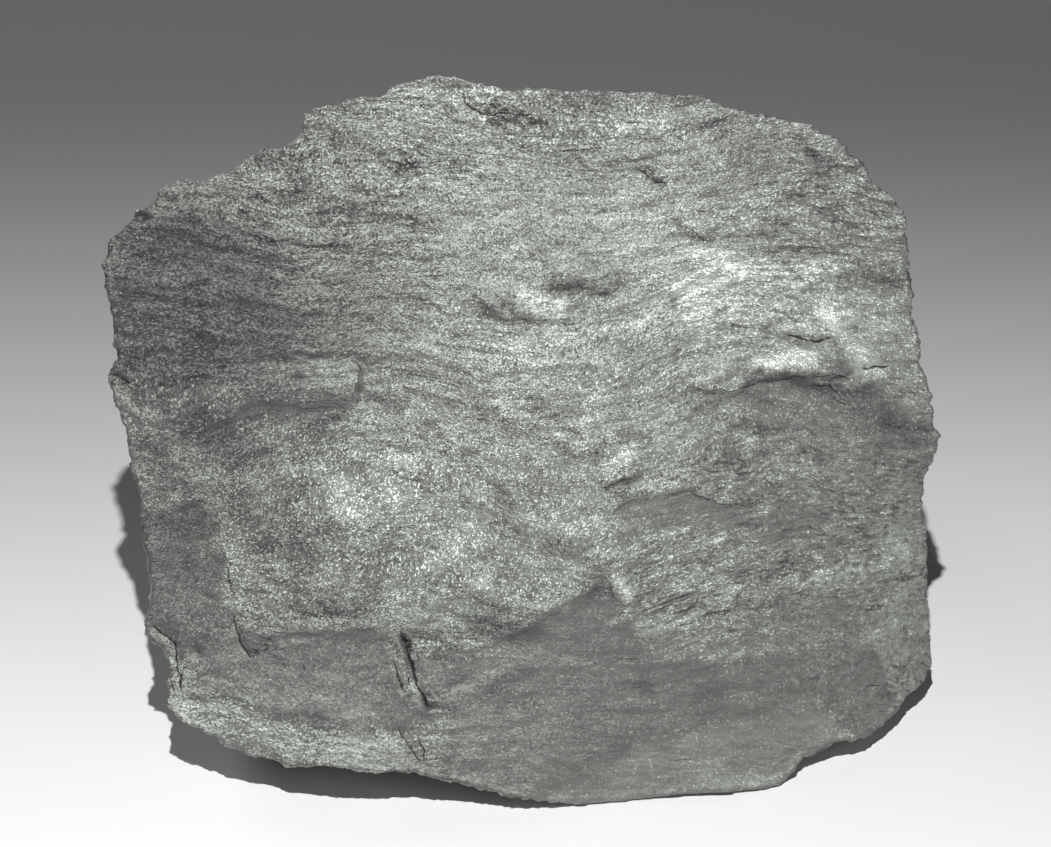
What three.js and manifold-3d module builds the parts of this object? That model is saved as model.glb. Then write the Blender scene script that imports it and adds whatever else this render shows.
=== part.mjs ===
// Graphite hand specimen: one natural block of foliated graphite, broken on every side.
// Its broad broken face leans back and looks towards -Y; a flat break underneath carries it.
// Millimetres, +Z up, origin under the middle of the block at the height it rests on.

import * as THREE from 'three';
import { mergeVertices } from 'three/addons/utils/BufferGeometryUtils.js';
import Module from 'manifold-3d';

const wasm = await Module();
wasm.setup();

// ---------------------------------------------------------------- driving dimensions

const VIEW_WIDTH = 115.5; // how much of the plane of the face fits across the view of its rim
const VIEW_PIXELS = { right: 1051, down: 847 }; // size of that view
const PIXELS_PER_MM = VIEW_PIXELS.right / VIEW_WIDTH; // in the plane of the face
const VIEW_DISTANCE = 400; // from the eye to the plane of the face
const VIEW_UP = 42.1; // height up the face at the middle of the view
const LEAN = THREE.MathUtils.degToRad(40); // the broad face leans back this far from upright
const SWELL_OUT = 2.6; // how far the middle of the face swells out of the plane of its rim
const SWELL_ACROSS = 40; // half widths of that swelling
const SWELL_UP = 34;
const RIM_REACH = 3; // power of the blend: higher keeps the rim's own bends closer to the rim
const NICK_REACH = 14; // the same for the nicks along the rim
const NICK_SPAN = 4; // a calm rim, without the nicks, averages this many points to either side
const HUB = { across: 0, up: 42 }; // middle of the face, where its facets meet

// Places on the block are given as [across, up, out]: millimetres to the right, up the leaning
// face from the line it stands on, and out of the face towards the viewer.

// The rim of the broad face is picked out by eye, as [right, down] in the pixels of a view that
// looks squarely at the leaning face. It runs clockwise from the bottom left corner.
const LEFT_SPOTS = [
  [178, 721], [167, 705], [167, 682], [172, 669], [163, 648], [144, 633], [146, 614], [152, 590],
  [150, 577], [140, 532], [141, 495], [130, 469], [129, 449], [121, 421], [115, 402], [107, 372],
  [118, 361], [115, 350], [111, 315], [107, 294], [102, 268], [107, 241],
];
const TOP_SPOTS = [
  [133, 218], [136, 208], [150, 204], [157, 193], [166, 184], [179, 181], [208, 180], [212, 176],
  [235, 169], [252, 156], [266, 147], [284, 146], [297, 141], [304, 129], [303, 114], [309, 108],
  [341, 103], [350, 97], [380, 96], [399, 84], [436, 74], [456, 78], [499, 86], [516, 89],
  [557, 89], [606, 90], [656, 90], [706, 97], [719, 104], [756, 112], [801, 121], [822, 129],
  [836, 141], [857, 155], [863, 162], [870, 181], [888, 191], [895, 199],
];
const RIGHT_SPOTS = [
  [904, 215], [911, 252], [912, 278], [915, 292], [911, 314], [918, 332], [922, 354], [917, 367],
  [927, 378], [931, 395], [936, 425], [941, 437], [936, 447], [935, 458], [924, 470], [922, 501],
  [928, 541], [928, 596], [930, 639], [933, 666],
];
const BOTTOM_SPOTS = [
  [927, 685], [904, 700], [899, 712], [878, 731], [863, 740], [847, 740], [826, 746], [804, 757],
  [798, 770], [780, 786], [765, 790], [725, 793], [679, 795], [627, 801], [578, 805], [526, 800],
  [508, 798], [487, 790], [441, 780], [417, 772], [365, 772], [340, 767], [288, 767], [257, 757],
  [227, 746], [208, 735],
];

// How far out the rim lies: [pixel, out] by pixels down the view on the left and the right, and
// by pixels across it along the top and the bottom.
const LEFT_OUT = [
  [721, 1.5], [690, 1.2], [633, -0.2], [577, 0], [500, -0.5], [372, -0.9], [268, -0.5], [241, -0.5],
];
const TOP_OUT = [[133, -0.5], [304, -0.6], [436, 0], [606, 0.3], [756, -0.5], [836, -1.5], [895, -3]];
const RIGHT_OUT = [[215, -3.2], [292, -4], [395, -5], [458, -6.5], [541, -8.5], [639, -11], [666, -11.5]];
const BOTTOM_OUT = [
  [927, -10.5], [899, -7.5], [863, -4], [804, -2.6], [780, -2], [725, -0.7], [640, -0.5], [566, 0.6],
  [526, 1.9], [492, 2.25], [452, 2.65], [340, 4.4], [288, 2.7], [257, 1.8], [208, 1.9],
];

function tenth(value) {
  return Math.round(value * 10) / 10;
}

// The value at a place in a table of [place, value], on straight lines between its rows.
function between(table, place) {
  const next = table.findIndex(([at], i) => i > 0 && (table[i - 1][0] - place) * (at - place) <= 0);
  const [from, low] = table[next - 1];
  const [to, high] = table[next];
  return low + ((high - low) * (place - from)) / (to - from);
}

// A spot in the view as [across, up, out], to a tenth of a millimetre. What lies further out is
// nearer to the eye, so a pixel there spans less.
function sighted([right, down], out) {
  const nearness = (VIEW_DISTANCE - out) / VIEW_DISTANCE;
  const across = ((right - VIEW_PIXELS.right / 2) / PIXELS_PER_MM) * nearness;
  const up = VIEW_UP + ((VIEW_PIXELS.down / 2 - down) / PIXELS_PER_MM) * nearness;
  return [tenth(across), tenth(up), tenth(out)];
}

const RIM = [
  ...LEFT_SPOTS.map((spot) => sighted(spot, between(LEFT_OUT, spot[1]))),
  ...TOP_SPOTS.map((spot) => sighted(spot, between(TOP_OUT, spot[0]))),
  ...RIGHT_SPOTS.map((spot) => sighted(spot, between(RIGHT_OUT, spot[1]))),
  ...BOTTOM_SPOTS.map((spot) => sighted(spot, between(BOTTOM_OUT, spot[0]))),
];

// Rings of facets from the hub of the face out to its rim, as fractions of the way.
const FACE_RINGS = [0.1, 0.2, 0.3, 0.4, 0.5, 0.6, 0.69, 0.77, 0.84, 0.9, 0.95, 1];

// Rings behind the rim: how deep they lie, and how much of the rim's width is left there.
const SIDE_RINGS = [
  { depth: 2, width: 0.998 },
  { depth: 6, width: 0.988 },
  { depth: 14, width: 0.965 },
  { depth: 62, width: 0.88 },
];
const CALM_DEPTH = 14; // behind this depth the rings lie flat and the rim's nicks are gone

// Breaks that knocked the block to shape: a place on each, and the way that it faces.
const BREAKS = [
  { name: 'left side, low', at: [-41.5, 28, -8], facing: [-1, -0.12, -0.42] },
  { name: 'left side, high', at: [-44.6, 57, -7], facing: [-1, 0.1, -0.34] },
  { name: 'left shoulder', at: [-35, 69.9, -6], facing: [-0.42, 1, -0.36] },
  { name: 'bottom left corner', at: [-37, 12, -5], facing: [-0.8, -0.55, -0.6] },
  { name: 'top', at: [2, 78.6, -9], facing: [0.05, 1, -0.3] },
  { name: 'right shoulder', at: [38.5, 68, -9], facing: [0.75, 0.62, -0.4] },
  { name: 'right side', at: [43.4, 40, -17], facing: [1, 0.06, -0.52] },
  { name: 'right side, low', at: [42, 14, -19], facing: [0.85, -0.25, -0.75] },
  { name: 'upper back, left', at: [-15, 66, -31], facing: [-0.38, 0.8, -0.66] },
  { name: 'upper back, right', at: [17, 67, -31], facing: [0.3, 0.85, -0.8] },
  { name: 'back, left', at: [-16, 48, -43], facing: [-0.4, 0.16, -1] },
  { name: 'back, right', at: [17, 50, -46], facing: [0.34, 0.3, -1] },
];
const BREAK_REACH = 400; // side of the block of waste behind each break

// ---------------------------------------------------------------- places and directions

// A direction in the leaning face's own terms, turned into the upright frame.
function turned([across, up, out]) {
  return new THREE.Vector3(
    across,
    up * Math.sin(LEAN) - out * Math.cos(LEAN),
    up * Math.cos(LEAN) + out * Math.sin(LEAN),
  );
}

// ---------------------------------------------------------------- solids and cuts

function solidOf(geometry) {
  const bare = geometry.clone();
  bare.deleteAttribute('normal');
  bare.deleteAttribute('uv');
  const welded = mergeVertices(bare);
  const mesh = new wasm.Mesh({
    numProp: 3,
    vertProperties: Float32Array.from(welded.attributes.position.array),
    triVerts: Uint32Array.from(welded.index.array),
  });
  return new wasm.Manifold(mesh);
}

function geometryOf(solid) {
  const mesh = solid.getMesh();
  const geometry = new THREE.BufferGeometry();
  geometry.setAttribute('position', new THREE.BufferAttribute(mesh.vertProperties, 3));
  geometry.setIndex(new THREE.BufferAttribute(mesh.triVerts, 1));
  return geometry;
}

// Everything on the far side of a flat break, as one big box that touches it.
function waste(at, facing) {
  const box = new THREE.BoxGeometry(BREAK_REACH, BREAK_REACH, BREAK_REACH);
  box.translate(0, 0, BREAK_REACH / 2);
  const turn = new THREE.Quaternion().setFromUnitVectors(new THREE.Vector3(0, 0, 1), facing);
  box.applyQuaternion(turn);
  box.translate(at.x, at.y, at.z);
  return solidOf(box);
}

// ---------------------------------------------------------------- the rough block

// How far the face swells out of the plane of its rim at a place on it.
function swell(across, up) {
  const x = (across - HUB.across) / SWELL_ACROSS;
  const y = (up - HUB.up) / SWELL_UP;
  return SWELL_OUT * Math.exp(-(x * x + y * y));
}

function mixed(from, to, share) {
  return from.map((value, axis) => THREE.MathUtils.lerp(value, to[axis], share));
}

// The rim without its nicks: each point is the mean of its neighbours.
function calmRim() {
  const neighbours = 2 * NICK_SPAN + 1;
  return RIM.map((_, i) => {
    const mean = [0, 0, 0];
    for (let step = -NICK_SPAN; step <= NICK_SPAN; step += 1) {
      const near = RIM.at((i + step) % RIM.length);
      near.forEach((value, axis) => {
        mean[axis] += value / neighbours;
      });
    }
    return mean;
  });
}

const CALM_RIM = calmRim();

function faceRing(fraction) {
  return RIM.map((nicked, i) => {
    const [across, up, out] = mixed(CALM_RIM[i], nicked, fraction ** NICK_REACH);
    const x = THREE.MathUtils.lerp(HUB.across, across, fraction);
    const y = THREE.MathUtils.lerp(HUB.up, up, fraction);
    return [x, y, THREE.MathUtils.lerp(swell(x, y), out, fraction ** RIM_REACH)];
  });
}

function sideRing({ depth, width }) {
  const calm = Math.min(1, depth / CALM_DEPTH);
  return RIM.map((nicked, i) => {
    const [across, up, out] = mixed(nicked, CALM_RIM[i], calm);
    return [
      THREE.MathUtils.lerp(HUB.across, across, width),
      THREE.MathUtils.lerp(HUB.up, up, width),
      THREE.MathUtils.lerp(out, 0, calm) - depth,
    ];
  });
}

// A closed body on rings: a pole on the face, the rings in order, and a pole at the far end.
function roughBlock() {
  const rings = [...FACE_RINGS.map(faceRing), ...SIDE_RINGS.map(sideRing)];
  const farEnd = SIDE_RINGS.at(-1).depth;
  const points = [
    [HUB.across, HUB.up, swell(HUB.across, HUB.up)],
    ...rings.flat(),
    [HUB.across, HUB.up, -farEnd],
  ];
  const count = RIM.length;
  const at = (ring, i) => 1 + ring * count + (i % count);
  const lastRing = rings.length - 1;
  const triangles = [];
  for (let i = 0; i < count; i += 1) {
    triangles.push(0, at(0, i + 1), at(0, i));
    for (let ring = 0; ring < lastRing; ring += 1) {
      triangles.push(at(ring, i), at(ring, i + 1), at(ring + 1, i));
      triangles.push(at(ring, i + 1), at(ring + 1, i + 1), at(ring + 1, i));
    }
    triangles.push(points.length - 1, at(lastRing, i), at(lastRing, i + 1));
  }
  const positions = points.flatMap((point) => turned(point).toArray());
  const geometry = new THREE.BufferGeometry();
  geometry.setAttribute('position', new THREE.Float32BufferAttribute(positions, 3));
  geometry.setIndex(triangles);
  return solidOf(geometry);
}

// ---------------------------------------------------------------- the finished block

function graphiteBlock() {
  let block = roughBlock();
  for (const { at, facing } of BREAKS) {
    block = block.subtract(waste(turned(at), turned(facing).normalize()));
  }
  const floor = new THREE.Vector3(0, 0, 0);
  const down = new THREE.Vector3(0, 0, -1);
  block = block.subtract(waste(floor, down));

  const geometry = geometryOf(block);
  geometry.computeBoundingBox();
  const middle = geometry.boundingBox.getCenter(new THREE.Vector3());
  geometry.translate(-middle.x, -middle.y, 0);
  geometry.computeVertexNormals();

  const graphite = new THREE.MeshStandardMaterial({
    color: 0x6f7370,
    roughness: 0.5,
    metalness: 0.6,
    flatShading: true,
  });
  const mesh = new THREE.Mesh(geometry, graphite);
  mesh.name = 'graphite_block';
  return mesh;
}

const specimen = new THREE.Group();
specimen.add(graphiteBlock());

export default specimen;
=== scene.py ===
# %% [markdown]
# # A hand specimen of graphite
#
# The object is one block of foliated graphite, about 93 mm wide, broken on every side. It stands on a
# flat break, and its broad face leans back. There is only one piece to make, so all of the work goes
# into its surface: the sheets it splits into, the ledges and cracks between them, and the flakes that
# glitter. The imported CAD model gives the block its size, its outline and its main breaks, and this
# script never changes those.

# %% Load the frame
import math

import bmesh
import bpy
import numpy as np
from mathutils import Matrix, Vector


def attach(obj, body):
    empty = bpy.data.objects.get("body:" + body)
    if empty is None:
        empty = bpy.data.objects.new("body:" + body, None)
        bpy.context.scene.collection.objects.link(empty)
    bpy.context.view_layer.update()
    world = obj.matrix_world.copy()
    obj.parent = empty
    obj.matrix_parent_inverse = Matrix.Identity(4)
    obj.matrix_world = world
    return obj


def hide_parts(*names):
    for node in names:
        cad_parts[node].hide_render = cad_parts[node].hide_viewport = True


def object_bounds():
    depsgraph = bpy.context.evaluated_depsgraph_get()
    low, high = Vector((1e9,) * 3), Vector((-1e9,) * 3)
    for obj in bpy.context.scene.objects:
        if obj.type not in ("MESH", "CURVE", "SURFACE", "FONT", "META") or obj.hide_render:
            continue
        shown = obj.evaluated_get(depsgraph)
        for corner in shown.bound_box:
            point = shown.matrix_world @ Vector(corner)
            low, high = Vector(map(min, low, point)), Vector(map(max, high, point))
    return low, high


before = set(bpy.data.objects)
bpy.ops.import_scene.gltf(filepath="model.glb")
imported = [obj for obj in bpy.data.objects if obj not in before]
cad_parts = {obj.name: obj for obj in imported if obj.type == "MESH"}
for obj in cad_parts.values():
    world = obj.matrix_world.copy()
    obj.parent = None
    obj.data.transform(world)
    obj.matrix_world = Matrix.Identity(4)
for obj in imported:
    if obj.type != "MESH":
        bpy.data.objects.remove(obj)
cad_box = [list(corner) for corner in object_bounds()]
print("CAD box, mm:", [[round(value * 1000, 1) for value in corner] for corner in cad_box])

# %% [markdown]
# ## A way about the face
#
# Every feature of the stone lies on one leaning face, so places are given in the face's own terms:
# `across` to the right, `up` the slope from the line where the face meets the table, and `out` of it
# towards the viewer, all in millimetres. One matrix lays the block on its back, like a stone on a
# bench, and its inverse stands it up again. Working on the bench keeps the sums short, because there
# `across`, `up` and `out` are simply X, Y and Z.

# %% The bench frame
MM = 0.001
LEAN = math.radians(40)
TOE = 0.88  # the lower lip of the face overhangs the line it stands on by this much

foot = Vector((0.15 * MM, cad_box[0][1] + TOE * MM, 0.0))
bench_to_world = Matrix((
    (MM, 0, 0, foot.x),
    (0, MM * math.sin(LEAN), -MM * math.cos(LEAN), foot.y),
    (0, MM * math.cos(LEAN), MM * math.sin(LEAN), foot.z),
    (0, 0, 0, 1),
))
world_to_bench = bench_to_world.inverted()


def place(across, up, out=0.0):
    """A spot on the face, in the scene's metres."""
    return bench_to_world @ Vector((across, up, out))


print("middle of the face, mm:", [round(value / MM, 1) for value in place(0, 42)])

# %% [markdown]
# ## The camera
#
# The camera looks squarely at the leaning face, from 400 mm away, so the face shows with no
# foreshortening. On a real copy stand this is a short telephoto lens. The focal length follows from
# the width of the stone that the frame has to hold.
#
# A squarely placed camera is also a way to say where a feature is. A feature is given by the pixel
# where it shows in the view, and `seen` turns that pixel into millimetres on the face. In the tables
# below a point is either `seen` like that, or written in millimetres where it was placed, or later
# moved, on the face itself.

# %% Camera
CAMERA_DISTANCE = 400.0
FRAME_WIDTH = 115.5  # millimetres of the face that fit across the picture
FRAME_MIDDLE = 42.1  # height up the face at the centre of the picture
VIEW_PIXELS = (1051, 847)  # size of its picture, right and down
PIXEL = FRAME_WIDTH / VIEW_PIXELS[0]  # millimetres of the face in one pixel of it
SENSOR = 36.0

camera_data = bpy.data.cameras.new("camera")
camera_data.sensor_width = SENSOR
camera_data.lens = SENSOR * CAMERA_DISTANCE / FRAME_WIDTH
camera_data.clip_start = 0.01
camera = bpy.data.objects.new("camera", camera_data)
bpy.context.scene.collection.objects.link(camera)
camera.location = place(0, FRAME_MIDDLE, CAMERA_DISTANCE)
camera.rotation_euler = (math.radians(90) - LEAN, 0, 0)
bpy.context.scene.camera = camera


def seen(right, down):
    """The spot on the face, across and up in millimetres, that shows at a pixel of the view."""
    across = (right - VIEW_PIXELS[0] / 2) * PIXEL
    return across, FRAME_MIDDLE + (VIEW_PIXELS[1] / 2 - down) * PIXEL


print("lens, mm:", round(camera_data.lens, 1), "pixels to a millimetre:", round(1 / PIXEL, 2))

# %% [markdown]
# ## Wiring nodes by writing sums
#
# The foliation and the graphite itself are both networks of nodes, and networks are easier to read as
# sums. `Signal` wraps one socket and lets Python's own operators add Math nodes behind it. `Wiring`
# wraps a node tree, and its one method `add` makes any other node: first the settings, then the
# sockets. The same two classes serve Geometry Nodes and shaders, since both use the same maths nodes.

# %% Signals and wiring
class Signal:
    """A socket that can stand in a sum: each operator adds the Math node that works it out."""

    def __init__(self, wiring, socket):
        self.wiring = wiring
        self.socket = socket

    def __add__(self, other):
        return self.wiring.math("ADD", self, other)

    def __radd__(self, other):
        return self.wiring.math("ADD", other, self)

    def __sub__(self, other):
        return self.wiring.math("SUBTRACT", self, other)

    def __rsub__(self, other):
        return self.wiring.math("SUBTRACT", other, self)

    def __mul__(self, other):
        return self.wiring.math("MULTIPLY", self, other)

    def __rmul__(self, other):
        return self.wiring.math("MULTIPLY", other, self)

    def __truediv__(self, other):
        return self.wiring.math("DIVIDE", self, other)

    def __rtruediv__(self, other):
        return self.wiring.math("DIVIDE", other, self)

    def __pow__(self, other):
        return self.wiring.math("POWER", self, other)

    def __neg__(self):
        return self.wiring.math("MULTIPLY", self, -1)


class Placed:
    """A node that has been added. Its outputs are read by name, as signals."""

    def __init__(self, wiring, node):
        self.wiring = wiring
        self.node = node

    def __getitem__(self, name):
        return Signal(self.wiring, Wiring.find(self.node.outputs, name))


class Wiring:
    """A node tree, and the ways to add to it."""

    def __init__(self, tree):
        self.tree = tree

    @staticmethod
    def find(sockets, name):
        """A socket by its number, or the one in use by its name."""
        if isinstance(name, int):
            return sockets[name]
        return next(socket for socket in sockets if socket.name == name and socket.enabled)

    def add(self, kind, settings=None, sockets=None):
        """Any node: its settings first, then its sockets, by name or in order."""
        node = self.tree.nodes.new(kind)
        for name, value in (settings or {}).items():
            setattr(node, name, value)
        sockets = sockets or {}
        for name, value in sockets.items() if isinstance(sockets, dict) else enumerate(sockets):
            self.feed(self.find(node.inputs, name), value)
        return Placed(self, node)

    def feed(self, socket, value):
        """A link where the value is a signal, and a plain setting where it isn't."""
        if isinstance(value, Signal):
            self.tree.links.new(value.socket, socket)
        else:
            socket.default_value = value

    def math(self, operation, *terms):
        return self.add("ShaderNodeMath", {"operation": operation}, terms)["Value"]

    def step(self, value, start, end):
        """0 before start, 1 past end, and a smooth rise between them."""
        sockets = {"Value": value, "From Min": start, "From Max": end}
        return self.add("ShaderNodeMapRange", {"interpolation_type": "SMOOTHSTEP"}, sockets)["Result"]

    def vector(self, operation, *terms):
        return self.add("ShaderNodeVectorMath", {"operation": operation}, terms)["Vector"]

    def scale(self, vector, factor):
        node = self.add("ShaderNodeVectorMath", {"operation": "SCALE"}, {"Vector": vector, "Scale": factor})
        return node["Vector"]

    def dot(self, one, other):
        node = self.add("ShaderNodeVectorMath", {"operation": "DOT_PRODUCT"}, [one, other])
        return node["Value"]

    def combine(self, x, y, z):
        return self.add("ShaderNodeCombineXYZ", None, [x, y, z])["Vector"]

    def separate(self, vector):
        node = self.add("ShaderNodeSeparateXYZ", None, [vector])
        return node["X"], node["Y"], node["Z"]

    def noise(self, vector, seed, detail=2.0, roughness=0.5):
        """A smooth random value about 0, near -0.5 to 0.5; one unit of the vector is one lump."""
        apart = self.vector("ADD", vector, self.combine(seed * 7.3, seed * 11.9, seed * 5.1))
        sockets = {"Vector": apart, "Scale": 1.0, "Detail": detail, "Roughness": roughness}
        return self.add("ShaderNodeTexNoise", None, sockets)[0] - 0.5


# %% [markdown]
# ## The rough block
#
# The CAD node is a few thousand flat facets: the right outline and the right breaks, but no skin to
# carve. It could be subdivided, but its facets are long and thin. A voxel remesh gives even squares
# instead, small enough to hold a crack, and it is done on the bench so that the squares line up with
# the face. The CAD mesh itself stays as it is: this is a merged copy.

# %% Remesh a copy of the CAD block
GRAIN_OF_MESH = 0.3  # side of a square, mm


def applied(source, name, prepare):
    """The mesh that an object has once the modifiers that `prepare` gives it have run."""
    thing = bpy.data.objects.new(name, source)
    bpy.context.scene.collection.objects.link(thing)
    prepare(thing)
    evaluated = thing.evaluated_get(bpy.context.evaluated_depsgraph_get())
    mesh = bpy.data.meshes.new_from_object(evaluated)
    mesh.name = name
    bpy.data.objects.remove(thing)
    return mesh


def merged_copy(mesh):
    """A copy of a loose-triangle mesh with its shared corners joined, laid on the bench."""
    copy = mesh.copy()
    copy.materials.clear()
    copy.transform(world_to_bench)
    shape = bmesh.new()
    shape.from_mesh(copy)
    bmesh.ops.remove_doubles(shape, verts=shape.verts, dist=0.002)
    shape.to_mesh(copy)
    shape.free()
    return copy


def remesh(thing):
    modifier = thing.modifiers.new("remesh", "REMESH")
    modifier.mode = "VOXEL"
    modifier.voxel_size = GRAIN_OF_MESH


rough = applied(merged_copy(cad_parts["graphite_block"].data), "rough_block", remesh)
print("rough block:", len(rough.vertices), "points,", len(rough.polygons), "squares")

# %% [markdown]
# ## Measuring on the face
#
# What makes this stone itself and no other is where it broke: a long ledge on the right, an open
# crack low on the left, a smooth band along the bottom. No rule gives those places, so they are
# listed one by one, as short lines and outlines on the face. A few measures are enough to use them:
# how far a point is from a line and on which side, whether it is beside the middle of the line or
# past its end, and how deep it is inside an outline. Every measure takes all the points of the mesh
# at once.

# %% Smooth steps and smooth noise
def smooth(value, start, end):
    """0 before start, 1 past end, and a smooth rise between them."""
    share = np.clip((value - start) / (end - start), 0, 1)
    return share * share * (3 - 2 * share)


def drift(across, up, size, seed):
    """A smooth random field between -1 and 1, with lumps of that size."""
    count = 64
    lattice = np.random.default_rng(seed).uniform(-1, 1, (count, count))
    x, y = across / size, up / size
    column, row = np.floor(x).astype(int), np.floor(y).astype(int)
    x, y = smooth(x - column, 0, 1), smooth(y - row, 0, 1)

    def corner(right, above):
        return lattice[(row + above) % count, (column + right) % count]

    low = corner(0, 0) * (1 - x) + corner(1, 0) * x
    high = corner(0, 1) * (1 - x) + corner(1, 1) * x
    return low * (1 - y) + high * y


def ragged(across, up, reach, size, seed):
    """The same points pushed about at random, so that a line drawn through them comes out ragged."""
    for octave in range(3):
        shrink = 0.5 ** octave
        push_x = drift(across, up, size * shrink, seed + octave)
        push_y = drift(across, up, size * shrink, seed + octave + 100)
        across = across + reach * shrink * push_x
        up = up + reach * shrink * push_y
    return across, up


# %% Distance from a line or an outline
def gap_from(across, up, line):
    """How far each point is from a line, positive on the line's left."""
    nearest = np.full(len(across), np.inf)
    squarely = np.zeros(len(across))
    side = np.ones(len(across))
    for start, end in zip(line[:-1], line[1:]):
        run, rise = end[0] - start[0], end[1] - start[1]
        length = math.hypot(run, rise)
        x, y = across - start[0], up - start[1]
        share = np.clip((x * run + y * rise) / length ** 2, 0, 1)
        gap = np.hypot(x - share * run, y - share * rise)
        beside = (run * y - rise * x) / length
        # Two pieces of a line tie at the corner they share: the one more squarely opposite says the side.
        tied = np.abs(gap - nearest) < 1e-6
        nearer = (gap < nearest - 1e-6) | (tied & (np.abs(beside) > squarely))
        nearest[nearer] = gap[nearer]
        squarely[nearer] = np.abs(beside)[nearer]
        side[nearer] = np.where(beside < 0, -1, 1)[nearer]
    return nearest * side


def fading(across, up, line, share):
    """1 beside the middle of a line, and 0 at both ends of it and past them."""
    (x0, y0), (x1, y1) = line[0], line[-1]
    run, rise = x1 - x0, y1 - y0
    along = ((across - x0) * run + (up - y0) * rise) / (run ** 2 + rise ** 2)
    return smooth(along, 0, share) * smooth(1 - along, 0, share)


def inside(across, up, outline, softness):
    """1 inside a closed outline, 0 outside it, with an edge of that softness."""
    closed = outline + outline[:1]
    within = np.zeros(len(across), bool)
    for (x0, y0), (x1, y1) in zip(closed[:-1], closed[1:]):
        crosses = (y0 > up) != (y1 > up)
        within ^= crosses & (across < x0 + (up - y0) * (x1 - x0) / (y1 - y0 + 1e-9))
    depth = np.where(within, 1, -1) * np.abs(gap_from(across, up, closed))
    return smooth(depth, -softness, softness)
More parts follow.
